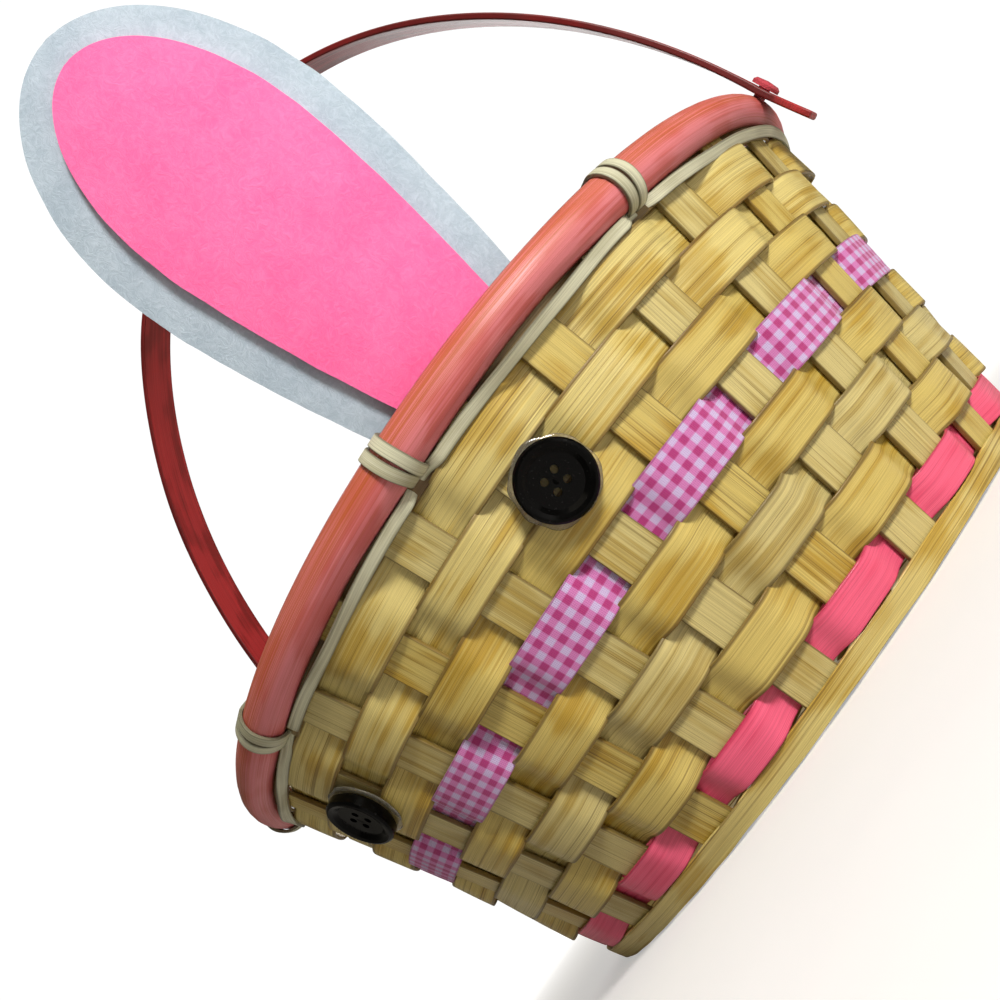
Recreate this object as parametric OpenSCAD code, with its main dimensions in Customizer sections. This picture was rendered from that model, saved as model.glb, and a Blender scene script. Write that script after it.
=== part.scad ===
// Woven bamboo Easter basket with a bunny face, one felt ear and a drop handle.
// Thirty wall stakes are the turned-up ends of fifteen splints that weave the flat base.
// Nine weavers go round them, over one and under one, and two hoops clamp the top edge.
// +Z is up, the face looks along -Y, and the handle swings about the X direction.
// The origin is on the surface the basket stands on, in the middle of the base.

/* [Body] */
// outer diameter of the rim hoop
rim_d = 240; // [232:2:240]
// height of the rim above the surface the basket stands on
body_h = 100; // [99:0.5:103]
// how far the wall leans out from upright, in degrees
wall_lean = 16.8; // [15:0.2:18]

/* [Splints and weavers] */
// width of a base splint and of the wall stakes at its ends
stake_w = 10.7; // [9:0.1:11]
// thickness of a splint
stake_t = 1.2; // [0.8:0.1:1.4]
// width of a weaver
weaver_w = 10.3; // [8:0.1:10.4]
// thickness of a weaver
weaver_t = 0.9; // [0.6:0.1:1]
// height of the middle of the lowest weaver
row_1_z = 9.1; // [9:0.1:9.6]
// height from one weaver to the next
row_pitch = 10.45; // [10.4:0.05:10.5]
// width of the gingham ribbon over the fifth weaver
ribbon_w = 11.2; // [8:0.1:11.3]

/* [Rim] */
// height of the rim hoops along the wall
hoop_w = 10; // [9.4:0.1:10]
// thickness of the half-round outer hoop
hoop_t = 3.8; // [3:0.1:4]
// thickness of the flat inner hoop
inner_hoop_t = 2.5; // [1.5:0.1:3]
// width of the lashing cane
cane_w = 2.7; // [2:0.1:2.8]
// thickness of the lashing cane
cane_t = 0.9; // [0.6:0.1:1]

/* [Handle] */
// width of the handle strip
handle_w = 12.7; // [9:0.1:14]
// thickness of the handle strip
handle_t = 1.8; // [1.2:0.1:2.2]
// half of the handle's span at its pins, at the middle of the strip
handle_half_span = 121.4; // [121.2:0.1:122.5]
// height of the handle above its pins, at the middle of the strip
handle_rise = 148.5; // [140:0.5:155]
// how far the strip runs on below its pin
tail = 14; // [8:1:18]
// diameter of the pins
pin_d = 3; // [2.4:0.1:3.4]

/* [Bunny face] */
// diameter of the button eyes
button_d = 16.6; // [12:0.2:18]
// height of the middle of the eyes
eye_z = 68.8; // [60:0.2:72]
// angle from the middle of the face to each eye
eye_angle = 25.4; // [20:0.2:32]
// angle from the middle of the face to the ear
ear_angle = 30; // [28:0.5:34]
// height of the ear's tip
ear_top = 193.5; // [150:0.5:200]
// half of the ear's width where it is widest
ear_half_w = 29.8; // [24:0.2:32]

/* [Hidden] */
$fn = 96;

// clearance between pieces that lie on each other
gap = 0.15;

// the stakes: one every 12 degrees, an even number so the rows alternate
stake_step = 12;
stake_count = 360 / stake_step;
long_n = 8;
cross_n = 7;

// the rim, as a station on the wall where the hoops are centred
rim_z = body_h - 5;
hoop_gap = 2;
// how far the inner hoop stops short of the outer one at its lower and upper edges
inner_low = 0.4;
inner_high = 1.4;
round_r = (pow(hoop_w / 2, 2) + pow(hoop_t, 2)) / (2 * hoop_t);
round_v = hoop_gap + hoop_t - round_r;
rim_stake_r = rim_d / 2 - round_r - round_v * cos(wall_lean);

// the middle of the stakes, as a radius at each height
function stake_r(z) = rim_stake_r + (z - rim_z) * tan(wall_lean);

// a point [radius, height] by its distance u up the wall from height z0 and v out of the wall
function on_wall(z0, u, v) =
    [stake_r(z0) + u * sin(wall_lean) + v * cos(wall_lean), z0 + u * cos(wall_lean) - v * sin(wall_lean)];

// a profile point [radius, height] turned to an angle about the upright axis
function turned(p, angle) = [p[0] * cos(angle), p[0] * sin(angle), p[1]];

// the base mat, and the fold where a splint turns up into the wall
mat_rise = (stake_t + gap) / 2;
mat_z = stake_t / 2 + mat_rise;
fold_r = 2;
fold_angle = 90 - wall_lean;
fold_top_z = mat_z + fold_r * (1 - cos(fold_angle));
fold_start_r = stake_r(fold_top_z) - fold_r * sin(fold_angle);
stake_top_z = body_h - 2;
flat_extra = 0.3;

// the weave of the wall
over_v = (stake_t + weaver_t) / 2 + gap;
ribbon_t = 0.3;
ribbon_lift = (weaver_t + ribbon_t) / 2 + 0.1;
top_row_w = 7;
band_h = 5.6;
low_row_narrower = 1.9;
low_row_higher = 1.1;
band_gap = 0.3;

// the lashing: pairs of turns a little to each side of their place, and a binder under the hoop
tie_step = 3 * stake_step;
tie_split = 0.8;
binder_v = hoop_gap - 0.1;

// the handle: half of an ellipse whose ends run on below the pins and lean out a little
pin_z = rim_z;
pin_r = pin_d / 2;
pin_clearance = 0.06;
pin_inside = 1.5;
tail_lean = 0.1;
head_r = 3.6;
head_t = 1.8;
head_gap = 0.12;

// the felt
felt_t = 2;
felt_low_z = 60;
felt_reach = 150;
felt_sweep = 48;
ear_base_z = 70;
ear_wide_z = 150;
ear_foot_half_w = 15;
lining_side = 8.4;
lining_tip = 6.5;
lining_foot = 6.4;

// the buttons
button_t = 3.4;
glue_t = 0.8;
glue_edge = 0.7;
eye_v = over_v + weaver_t / 2 + 0.3;

straw = [0.83, 0.73, 0.50];
honey = [0.76, 0.62, 0.34];
rose = [0.90, 0.48, 0.52];
crimson = [0.70, 0.24, 0.28];
hot_pink = [0.94, 0.36, 0.55];
sage = [0.72, 0.74, 0.64];

// faces of a solid through rings of four corners, as triangles
function loft_faces(n, closed) = concat(
    [for (i = [0 : closed ? n - 1 : n - 2]) for (k = [0 : 3])
        let (a = 4 * i + k, b = 4 * i + (k + 1) % 4, c = 4 * ((i + 1) % n))
        each [[b, a, c + (k + 1) % 4], [c + (k + 1) % 4, a, c + k]]],
    closed ? [] : [[0, 1, 2], [0, 2, 3],
        [4 * n - 2, 4 * n - 3, 4 * n - 4], [4 * n - 1, 4 * n - 2, 4 * n - 4]]);

module loft(sections, closed = false) {
    polyhedron(points = [for (s = sections) each s],
        faces = loft_faces(len(sections), closed), convexity = 12);
}

// ---- base splints with their stakes ----

// four corners about a centre, from a direction across the strip and one through it
function strip_section(centre, across, through) = [
    for (c = [[-1, -1], [1, -1], [1, 1], [-1, 1]])
        centre + across * c[0] * stake_w / 2 + through * c[1] * stake_t / 2];

// one end of a splint: the fold at the base edge and the straight stake above it
function stake_end(angle, side) =
    let (out = [side * cos(angle), sin(angle), 0], across = [-side * sin(angle), cos(angle), 0])
    concat(
        [for (f = [0 : 2])
            let (a = fold_angle * f / 2)
            strip_section(
                out * (fold_start_r + fold_r * sin(a)) + [0, 0, mat_z + fold_r * (1 - cos(a))],
                across, -out * sin(a) + [0, 0, cos(a)])],
        [strip_section(out * stake_r(stake_top_z) + [0, 0, stake_top_z],
            across, -out * sin(fold_angle) + [0, 0, cos(fold_angle)])]);

function reversed(list) = [for (i = [len(list) - 1 : -1 : 0]) list[i]];

// the flat middle of a splint, over and under the splints that cross it
function mat_sections(y, crossings, first_over) = [
    for (i = [0 : len(crossings) - 1]) for (edge = [-1, 1])
        strip_section([
            crossings[i] + edge * (stake_w / 2 + flat_extra), y,
            mat_z + ((i + first_over) % 2 == 0 ? mat_rise : -mat_rise)],
            [0, 1, 0], [0, 0, 1])];

long_angles = [for (i = [0 : long_n - 1]) (i - (long_n - 1) / 2) * stake_step];
cross_angles = [for (i = [0 : cross_n - 1]) (i - (cross_n - 1) / 2) * stake_step];

// a splint lies along X at the height y where its own stakes leave the base
module splint(angle, crossing_angles, first_over) {
    loft(concat(
        reversed(stake_end(angle, -1)),
        mat_sections(fold_start_r * sin(angle),
            [for (a = crossing_angles) fold_start_r * sin(a)], first_over),
        stake_end(angle, 1)));
}

module long_splint(i) {
    color(i % 3 == 0 ? honey : straw) splint(long_angles[i - 1], cross_angles, i);
}

module cross_splint(i) {
    color(i % 3 == 1 ? honey : straw)
        rotate(90) splint(cross_angles[cross_n - i], long_angles, cross_n - i);
}

// ---- weavers ----

function row_z(row) = row_1_z + (row - 1) * row_pitch;

// a closed band that passes outside one stake and inside the next
module woven_band(z, row, width, thickness, lift = 0, tuck = 0) {
    half = asin((stake_w / 2 + flat_extra) / stake_r(z));
    loft([for (j = [0 : stake_count - 1]) for (edge = [-1, 1])
        let (
            v = lift + ((j + row) % 2 == 0 ? over_v : -over_v - tuck),
            angle = -90 + stake_step * j + edge * half)
        [for (c = [[-1, -1], [1, -1], [1, 1], [-1, 1]])
            let (p = on_wall(z, c[0] * width / 2, v + c[1] * thickness / 2))
            turned([p[0] / cos(half), p[1]], angle)]],
        closed = true);
}

// the lowest weaver is narrower and leaves room for the base band
module weaver(row) {
    low = row == 1 ? 1 : 0;
    color(row == 1 ? hot_pink : row % 2 == 0 ? straw : honey)
        woven_band(row_z(row) + low * low_row_higher, row, weaver_w - low * low_row_narrower, weaver_t,
            tuck = row == 5 ? ribbon_t + 0.05 : 0);
}

// the highest weaver is narrow and sits between the two hoops, so the pins pass through it
module top_weaver() {
    color(straw) difference() {
        woven_band(rim_z, 9, top_row_w, weaver_t);
        pin_hole();
    }
}

module gingham_ribbon() {
    color([0.86, 0.52, 0.74])
        woven_band(row_z(5), 5, ribbon_w, ribbon_t, lift = ribbon_lift, tuck = ribbon_t + 0.05);
}

// ---- hoops and lashing ----

// a solid of revolution about the upright axis, from points [u, v] on the wall at height z
module hoop(z, outline) {
    rotate_extrude() polygon([for (p = outline) on_wall(z, p[0], p[1])]);
}

function box_outline(u, v) = [[u[0], v[0]], [u[1], v[0]], [u[1], v[1]], [u[0], v[1]]];

// half-round face of the outer hoop, grown by grow
function round_face(grow, steps = 14) =
    let (reach = asin(hoop_w / 2 / round_r))
    [for (i = [0 : steps])
        let (a = reach - 2 * reach * i / steps)
        [(round_r + grow) * sin(a), round_v + (round_r + grow) * cos(a)]];

module pin_hole(extra = 0) {
    translate([0, 0, pin_z]) rotate([0, 90, 0]) cylinder(r = pin_r + extra, h = rim_d * 1.2, center = true);
}

module outer_hoop() {
    color(rose) difference() {
        hoop(rim_z, round_face(0));
        pin_hole();
    }
}

module inner_hoop() {
    color(crimson) difference() {
        hoop(rim_z, box_outline(
            [-hoop_w / 2 + inner_low, hoop_w / 2 - inner_high], [-hoop_gap - inner_hoop_t, -hoop_gap]));
        pin_hole();
    }
}

// outline of the hoops together, from the round face to the inside corners
function lashed_outline(grow) = concat(round_face(grow), [
    [-hoop_w / 2 - grow, -hoop_gap - inner_hoop_t + inner_low / 2],
    [-hoop_w / 2 + inner_low / 2, -hoop_gap - inner_hoop_t - grow],
    [hoop_w / 2 - inner_high, -hoop_gap - inner_hoop_t - grow],
    [hoop_w / 2 - inner_high / 2 + grow, -hoop_gap - inner_hoop_t + inner_high / 2]]);

module cane_turn() {
    rotate([90, 0, 0]) linear_extrude(cane_w, center = true) difference() {
        polygon([for (p = lashed_outline(gap + cane_t)) on_wall(rim_z, p[0], p[1])]);
        polygon([for (p = lashed_outline(gap)) on_wall(rim_z, p[0], p[1])]);
    }
}

// a pair of turns at every third gap between stakes, except where the handle is pinned
module lashing_cane() {
    color(sage) {
        hoop(rim_z, box_outline(
            [-hoop_w / 2 - gap - cane_w, -hoop_w / 2 - gap], [binder_v, binder_v + cane_t]));
        for (i = [1 : 4]) for (half = [0, 180]) for (edge = [-1, 1])
            rotate(i * tie_step + half + edge * tie_split) cane_turn();
    }
}

// a plain band round the foot of the stakes
module base_band() {
    inner_v = stake_t / 2 + 0.3;
    color(straw) hoop(band_gap, box_outline([0.3, band_h], [inner_v, inner_v + weaver_t]));
}

// ---- handle ----

// distance of a tail's middle from the middle of the basket, at a depth below the pin
function tail_x(depth) = handle_half_span + tail_lean * depth * depth / (depth + 4);

// one face of the strip, as points [x, z], side being 1 for the outer face and -1 for the inner one
function handle_face(side) =
    let (
        tail_side = [for (i = [4 : -1 : 1])
            [tail_x(tail * i / 4) + side * handle_t / 2, pin_z - tail * i / 4]],
        arch = [for (a = [0 : 2.5 : 180])
            let (n = [cos(a) / handle_half_span, sin(a) / handle_rise])
            [handle_half_span * cos(a), pin_z + handle_rise * sin(a)]
                + side * handle_t / 2 * n / norm(n)])
    concat(tail_side, arch, [for (p = reversed(tail_side)) [-p[0], p[1]]]);

module handle_strip() {
    color(crimson) difference() {
        rotate([90, 0, 0]) linear_extrude(handle_w, center = true)
            polygon(concat(handle_face(1), reversed(handle_face(-1))));
        pin_hole(pin_clearance);
    }
}

// a headed peg through the strip, both hoops and the top weaver
module handle_pin(side) {
    head_x = tail_x(head_r) + handle_t / 2 + head_gap;
    inside = stake_r(rim_z) - (hoop_gap + inner_hoop_t) / cos(wall_lean) - pin_inside;
    color(rose) translate([0, 0, pin_z]) rotate([0, side * 90, 0]) {
        translate([0, 0, inside]) cylinder(r = pin_r, h = head_x - inside + head_t / 2);
        translate([0, 0, head_x]) rotate_extrude() polygon([
            [0, 0], [head_r, 0], [head_r, head_t * 0.5], [head_r * 0.8, head_t * 0.85], [0, head_t]]);
    }
}

// ---- ear ----

// half width of the ear at a height, with a round tip
function ear_half(z, wide, foot, top) =
    z <= ear_wide_z
        ? wide - (wide - foot) * pow((ear_wide_z - z) / (ear_wide_z - ear_base_z), 1.5)
        : wide * sqrt(max(0, 1 - pow((z - ear_wide_z) / (top - ear_wide_z), 2.2)));

function ear_outline(wide, foot, top, z0) =
    let (
        low = [for (i = [0 : 9]) z0 + (ear_wide_z - z0) * i / 10],
        high = [for (i = [0 : 12]) ear_wide_z + (top - ear_wide_z) * sin(90 * i / 12)],
        side = [for (z = concat(low, high)) [ear_half(z, wide, foot, top), z]])
    concat(side, [for (i = [len(side) - 2 : -1 : 0]) [-side[i][0], side[i][1]]]);

// a felt shape that follows the inside of the wall, from v0 in to v1
module felt(v0, v1, wide, foot, top, z0) {
    rotate(-90 + ear_angle) intersection() {
        rotate(-felt_sweep / 2) rotate_extrude(angle = felt_sweep) polygon([
            on_wall(felt_low_z, 0, v1), on_wall(felt_low_z, 0, v0),
            on_wall(felt_low_z, felt_reach, v0), on_wall(felt_low_z, felt_reach, v1)]);
        rotate([90, 0, 90]) translate([0, 0, rim_d / 4]) linear_extrude(rim_d / 2)
            polygon(ear_outline(wide, foot, top, z0));
    }
}

lining_v = -hoop_gap - inner_hoop_t - 0.7 - cane_t;

module ear_lining() {
    color([1, 0.47, 0.68]) felt(lining_v, lining_v - felt_t, ear_half_w - lining_side,
        ear_foot_half_w - lining_foot, ear_top - lining_tip, ear_base_z + 4);
}

module ear_felt() {
    color([0.75, 0.80, 0.84]) felt(lining_v - felt_t - 0.05, lining_v - 2 * felt_t - 0.05, ear_half_w,
        ear_foot_half_w, ear_top, ear_base_z);
}

// ---- eyes ----

// places a child on the wall at an eye, with its +Z pointing out of the wall
module at_eye(side, v) {
    p = on_wall(eye_z, 0, v);
    rotate(-90 + side * eye_angle) translate([p[0], 0, p[1]]) rotate([0, 90 + wall_lean, 0]) children();
}

module eye_glue(side) {
    color([0.93, 0.92, 0.86]) at_eye(side, eye_v) cylinder(r = button_d / 2 + glue_edge, h = glue_t);
}

// a four-hole button with a raised rim and a dished middle
module eye_button(side) {
    r = button_d / 2;
    thread_hole_r = 0.85;
    thread_hole_place = 1.55;
    color([0.06, 0.06, 0.07]) at_eye(side, eye_v + glue_t + 0.05) difference() {
        rotate_extrude() polygon([
            [0, 0], [r - 0.8, 0], [r, 0.8],
            [r, button_t - 0.6], [r - 0.4, button_t - 0.1], [r - 0.9, button_t],
            [r - 1.8, button_t - 0.25], [r - 2.8, button_t - 1.1], [0, button_t - 1.3]]);
        for (x = [-1, 1]) for (y = [-1, 1])
            translate([x * thread_hole_place, y * thread_hole_place, -1])
                cylinder(r = thread_hole_r, h = button_t + 2, $fn = 32);
    }
}

long_splint(1);  // long_splint_1
long_splint(2);  // long_splint_2
long_splint(3);  // long_splint_3
long_splint(4);  // long_splint_4
long_splint(5);  // long_splint_5
long_splint(6);  // long_splint_6
long_splint(7);  // long_splint_7
long_splint(8);  // long_splint_8
cross_splint(1);  // cross_splint_1
cross_splint(2);  // cross_splint_2
cross_splint(3);  // cross_splint_3
cross_splint(4);  // cross_splint_4
cross_splint(5);  // cross_splint_5
cross_splint(6);  // cross_splint_6
cross_splint(7);  // cross_splint_7
weaver(1);  // weaver_1
weaver(2);  // weaver_2
weaver(3);  // weaver_3
weaver(4);  // weaver_4
weaver(5);  // weaver_5
weaver(6);  // weaver_6
weaver(7);  // weaver_7
weaver(8);  // weaver_8
top_weaver();  // weaver_9
gingham_ribbon();
base_band();
outer_hoop();
inner_hoop();
lashing_cane();
handle_strip();
handle_pin(-1);  // handle_pin_left
handle_pin(1);  // handle_pin_right
ear_felt();
ear_lining();
eye_button(-1);  // eye_button_left
eye_button(1);  // eye_button_right
eye_glue(-1);  // eye_glue_left
eye_glue(1);  // eye_glue_right
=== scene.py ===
"""Looks of a woven bamboo Easter basket with a bunny face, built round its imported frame.

Sizes in the classes below are in millimetres and become metres as a mesh is made. Azimuths are
in degrees from the front of the basket, which faces -Y, and grow towards +X.
"""

import logging
import math
from dataclasses import dataclass, field
from enum import Enum
from typing import Callable, Sequence

import bmesh
import bpy
from mathutils import Matrix, Vector, noise


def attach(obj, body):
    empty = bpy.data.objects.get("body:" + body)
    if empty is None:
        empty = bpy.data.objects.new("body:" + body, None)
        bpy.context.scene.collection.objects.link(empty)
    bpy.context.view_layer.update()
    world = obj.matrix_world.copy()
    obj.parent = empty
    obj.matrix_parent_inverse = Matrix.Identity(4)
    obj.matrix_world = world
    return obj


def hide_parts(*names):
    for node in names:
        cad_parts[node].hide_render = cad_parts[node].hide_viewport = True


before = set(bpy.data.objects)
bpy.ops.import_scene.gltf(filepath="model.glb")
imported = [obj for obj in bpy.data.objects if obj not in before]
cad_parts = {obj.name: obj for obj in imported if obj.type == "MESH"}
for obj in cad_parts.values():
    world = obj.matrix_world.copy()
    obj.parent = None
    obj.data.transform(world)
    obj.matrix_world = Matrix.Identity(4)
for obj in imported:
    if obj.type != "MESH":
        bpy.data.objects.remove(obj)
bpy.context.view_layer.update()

log = logging.getLogger("basket")

MM = 0.001
BASKET = "basket"
HANDLE = "handle"
WELD = 1e-6
STAKES = 30
STAKE_STEP = 360 / STAKES
STAKE_HALF = 5.65  # half of a stake's width, with its clearance
EDGE_ROUNDING = 0.28
WEAVER_THICKNESS = 0.9
NO_EDGE_SHADE = 99.0  # a half width so large that no painted edge shade shows

Colour = tuple[float, float, float]


class Grain(Enum):
    """Where a bamboo finish takes the run of its fibres from."""

    STRIP = "strip"
    ROUND = "round"


# ---- the shape of the wall -------------------------------------------------------------------


@dataclass(frozen=True)
class Wall:
    """The leaning wall that every strip follows.

    A place on it is an azimuth and a height, then a distance up the wall and one out of it.
    """

    rim_z: float = 95.0
    rim_radius: float = 114.226
    lean: float = math.radians(16.8)

    def radius(self, z: float) -> float:
        """Radius of the middle of the stakes at a height."""
        return self.rim_radius + (z - self.rim_z) * math.tan(self.lean)

    def outward(self, azimuth: float) -> Vector:
        """Unit vector straight out of the wall.

        Args:
            azimuth: degrees from the front.

        Returns:
            The direction.
        """
        a = math.radians(azimuth)
        level = math.cos(self.lean)
        return Vector((math.sin(a) * level, -math.cos(a) * level, -math.sin(self.lean)))

    def upward(self, azimuth: float) -> Vector:
        """Unit vector up the slope of the wall.

        Args:
            azimuth: degrees from the front.

        Returns:
            The direction.
        """
        a = math.radians(azimuth)
        level = math.sin(self.lean)
        return Vector((math.sin(a) * level, -math.cos(a) * level, math.cos(self.lean)))

    def point(self, azimuth: float, z: float, up: float = 0.0, out: float = 0.0) -> Vector:
        """A place on, above or off the wall, in millimetres.

        Args:
            azimuth: degrees from the front.
            z: height at which the wall is first met.
            up: distance up the slope from there.
            out: distance out of the wall from there.

        Returns:
            The place in the basket's frame.
        """
        a, r = math.radians(azimuth), self.radius(z)
        foot = Vector((r * math.sin(a), -r * math.cos(a), z))
        return foot + self.upward(azimuth) * up + self.outward(azimuth) * out

    def tilted(self, azimuth: float, twist: float) -> tuple[Vector, Vector]:
        """Directions across and through a strip that runs round the wall.

        Args:
            azimuth: degrees from the front.
            twist: angle in radians by which its upper edge leans out.

        Returns:
            The direction across the strip and the one out of its face.
        """
        up, out = self.upward(azimuth), self.outward(azimuth)
        return (up * math.cos(twist) + out * math.sin(twist),
                out * math.cos(twist) - up * math.sin(twist))


WALL = Wall()


def ripple(azimuth: float, waves: float, seed: float) -> float:
    """Smooth noise round the basket that meets itself after a full turn, about -1 to 1."""
    a = math.radians(azimuth)
    return 2.0 * noise.noise(Vector((math.cos(a) * waves, math.sin(a) * waves, seed)))


def smooth(x: float) -> float:
    """Smoothstep of a value held between 0 and 1."""
    x = min(1.0, max(0.0, x))
    return x * x * (3 - 2 * x)


# ---- strips ----------------------------------------------------------------------------------


@dataclass
class Station:
    """One cross-section of a strip: its middle, its two directions and its width."""

    centre: Vector
    across: Vector
    through: Vector
    width: float


def add_strip(bm: bmesh.types.BMesh, stations: Sequence[Station], closed: bool = False,
              columns: int = 4, crown: float = 0.0, shift: float = 0.0) -> None:
    """Lays one strip of faces through its stations, with its length and width as UVs.

    Args:
        bm: mesh that the strip is added to.
        stations: cross-sections in order along the strip.
        closed: whether the last station joins the first.
        columns: number of faces across the strip.
        crown: how far the middle stands above the edges.
        shift: start of the strip's UV length, in centimetres, so that no two strips match.
    """
    rows = len(stations) if closed else len(stations) - 1
    uv = bm.loops.layers.uv.verify()
    made = bmesh.ops.create_grid(bm, x_segments=rows, y_segments=columns, size=0.5)["verts"]
    run = [0.0]
    for i in range(rows):
        step = stations[(i + 1) % len(stations)].centre - stations[i].centre
        run.append(run[-1] + step.length)
    for face in {f for v in made for f in v.link_faces}:
        for loop in face.loops:
            i, y = round((loop.vert.co.x + 0.5) * rows), loop.vert.co.y
            loop[uv].uv = (shift + run[i] / 10, y * stations[i % len(stations)].width / 10)
    for vert in made:
        i, y = round((vert.co.x + 0.5) * rows), vert.co.y
        s = stations[i % len(stations)]
        vert.co = (s.centre + s.across * (y * s.width) + s.through * (crown * (1 - 4 * y * y))) * MM
    if closed:
        bmesh.ops.remove_doubles(bm, verts=made, dist=WELD)


def strip_piece(name: str, bm: bmesh.types.BMesh, thickness: float, rounding: float,
                material: bpy.types.Material) -> bpy.types.Object:
    """Turns laid strips into a piece with thickness and rounded edges.

    Args:
        name: name of the piece.
        bm: the strips, which are freed.
        thickness: thickness of the strip.
        rounding: radius of its long edges.
        material: its finish.

    Returns:
        The finished object.
    """
    piece = to_piece(name, bm, material)
    solid = piece.modifiers.new("thickness", "SOLIDIFY")
    solid.thickness, solid.offset, solid.use_even_offset = thickness * MM, 0.0, True
    bevel = piece.modifiers.new("edges", "BEVEL")
    bevel.width, bevel.segments, bevel.limit_method = rounding * MM, 2, "ANGLE"
    bevel.angle_limit, bevel.harden_normals = math.radians(50), True
    return piece


def to_piece(name: str, bm: bmesh.types.BMesh, material: bpy.types.Material) -> bpy.types.Object:
    """Writes a bmesh to a new smooth-shaded object at the origin.

    Args:
        name: name of the piece.
        bm: its shape, which is freed.
        material: its finish.

    Returns:
        The object, linked to the scene.
    """
    mesh = bpy.data.meshes.new(name)
    for face in bm.faces:
        face.smooth = True
    bm.to_mesh(mesh)
    bm.free()
    mesh.materials.append(material)
    piece = bpy.data.objects.new(name, mesh)
    bpy.context.scene.collection.objects.link(piece)
    return piece


def spin_ring(outline: Sequence[Vector], steps: int) -> bmesh.types.BMesh:
    """Spins a closed outline once round the upright axis through the origin.

    Args:
        outline: its points, in order.
        steps: number of faces round the ring.

    Returns:
        The ring, with its seam welded.
    """
    bm = bmesh.new()
    ring = [bm.verts.new(p) for p in outline]
    edges = [bm.edges.new((a, b)) for a, b in zip(ring, ring[1:] + ring[:1])]
    bmesh.ops.spin(bm, geom=ring + edges, axis=(0, 0, 1), cent=(0, 0, 0), dvec=(0, 0, 0),
                   angle=2 * math.pi, steps=steps, use_merge=True, use_duplicate=False)
    bmesh.ops.remove_doubles(bm, verts=bm.verts, dist=WELD)
    return bm


def place(piece: bpy.types.Object, body: str, slot: str, *nodes: str) -> bpy.types.Object:
    """Puts a finished piece on its body and in place of its CAD nodes.

    Args:
        piece: the piece.
        body: body that it rides on.
        slot: the record's material slot for its finish; not used.
        nodes: CAD nodes that it stands for.

    Returns:
        The same piece.
    """
    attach(piece, body)
    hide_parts(*nodes)
    log.info("%s on %s, for %s", piece.name, body, ", ".join(nodes))
    return piece


# ---- shader building -------------------------------------------------------------------------


class Nodes:
    """Short ways to add and join shader nodes in one tree."""

    def __init__(self, tree: bpy.types.NodeTree) -> None:
        """Keeps the tree that nodes are added to."""
        self.tree = tree

    def add(self, kind: str, **settings: object) -> bpy.types.Node:
        """Adds a node and sets its properties.

        Args:
            kind: type of the node.
            settings: its properties and their values.

        Returns:
            The node.
        """
        node = self.tree.nodes.new(kind)
        for key, value in settings.items():
            setattr(node, key, value)
        return node

    def feed(self, socket: bpy.types.NodeSocket, value: object) -> None:
        """Joins a socket to another, or sets its own value.

        Args:
            socket: input that is fed.
            value: an output to join to it, or a plain value.
        """
        if isinstance(value, bpy.types.NodeSocket):
            self.tree.links.new(value, socket)
        else:
            socket.default_value = value

    def math(self, operation: str, a: object, b: object = 0.0,
             c: object = 0.0) -> bpy.types.NodeSocket:
        """A sum worked out by a Math node.

        Args:
            operation: what it does.
            a: first value or socket.
            b: second value or socket.
            c: third value or socket.

        Returns:
            Its result.
        """
        node = self.add("ShaderNodeMath", operation=operation)
        for socket, value in zip(node.inputs, (a, b, c)):
            self.feed(socket, value)
        return node.outputs[0]

    def ramp(self, value: object, low: float, high: float, to_low: float = 0.0,
             to_high: float = 1.0) -> bpy.types.NodeSocket:
        """A value eased from one range to another.

        Args:
            value: the value or socket.
            low: lower end of its range.
            high: upper end of its range.
            to_low: what the lower end becomes.
            to_high: what the upper end becomes.

        Returns:
            The eased value.
        """
        node = self.add("ShaderNodeMapRange", interpolation_type="SMOOTHSTEP")
        for socket, item in zip(node.inputs, (value, low, high, to_low, to_high)):
            self.feed(socket, item)
        return node.outputs[0]

    def mix(self, factor: object, a: object, b: object) -> bpy.types.NodeSocket:
        """Two colours mixed by a factor.

        Args:
            factor: share of the second colour.
            a: first colour or socket.
            b: second colour or socket.

        Returns:
            The mixed colour.
        """
        node = self.add("ShaderNodeMix", data_type="RGBA", blend_type="MIX")
        self.feed(node.inputs[0], factor)
        self.feed(node.inputs[6], rgba(a))
        self.feed(node.inputs[7], rgba(b))
        return node.outputs[2]

    def noise(self, vector: bpy.types.NodeSocket, scale: tuple[float, float, float],
              detail: float = 2.0, roughness: float = 0.5) -> bpy.types.NodeSocket:
        """A noise value on a vector stretched by a scale for each axis.

        Args:
            vector: where the noise is read.
            scale: stretch along each axis.
            detail: levels of finer noise.
            roughness: how strong the finer levels are.

        Returns:
            The noise, about 0 to 1.
        """
        stretch = self.add("ShaderNodeVectorMath", operation="MULTIPLY")
        self.feed(stretch.inputs[0], vector)
        stretch.inputs[1].default_value = scale
        node = self.add("ShaderNodeTexNoise")
        self.feed(node.inputs["Vector"], stretch.outputs[0])
        node.inputs["Scale"].default_value = 1.0
        node.inputs["Detail"].default_value = detail
        node.inputs["Roughness"].default_value = roughness
        return node.outputs["Fac"]


def rgba(value: object) -> object:
    """An RGB triple with full alpha, or a socket as it is."""
    return (*value, 1.0) if isinstance(value, tuple) and len(value) == 3 else value


def srgb(red: int, green: int, blue: int) -> Colour:
    """A linear colour from 0-255 values.

    Args:
        red: red value.
        green: green value.
        blue: blue value.

    Returns:
        The colour as the shader takes it.
    """
    def line(c: float) -> float:
        """One channel made linear."""
        return c / 12.92 if c <= 0.04045 else ((c + 0.055) / 1.055) ** 2.4
    return tuple(line(c / 255) for c in (red, green, blue))


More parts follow.
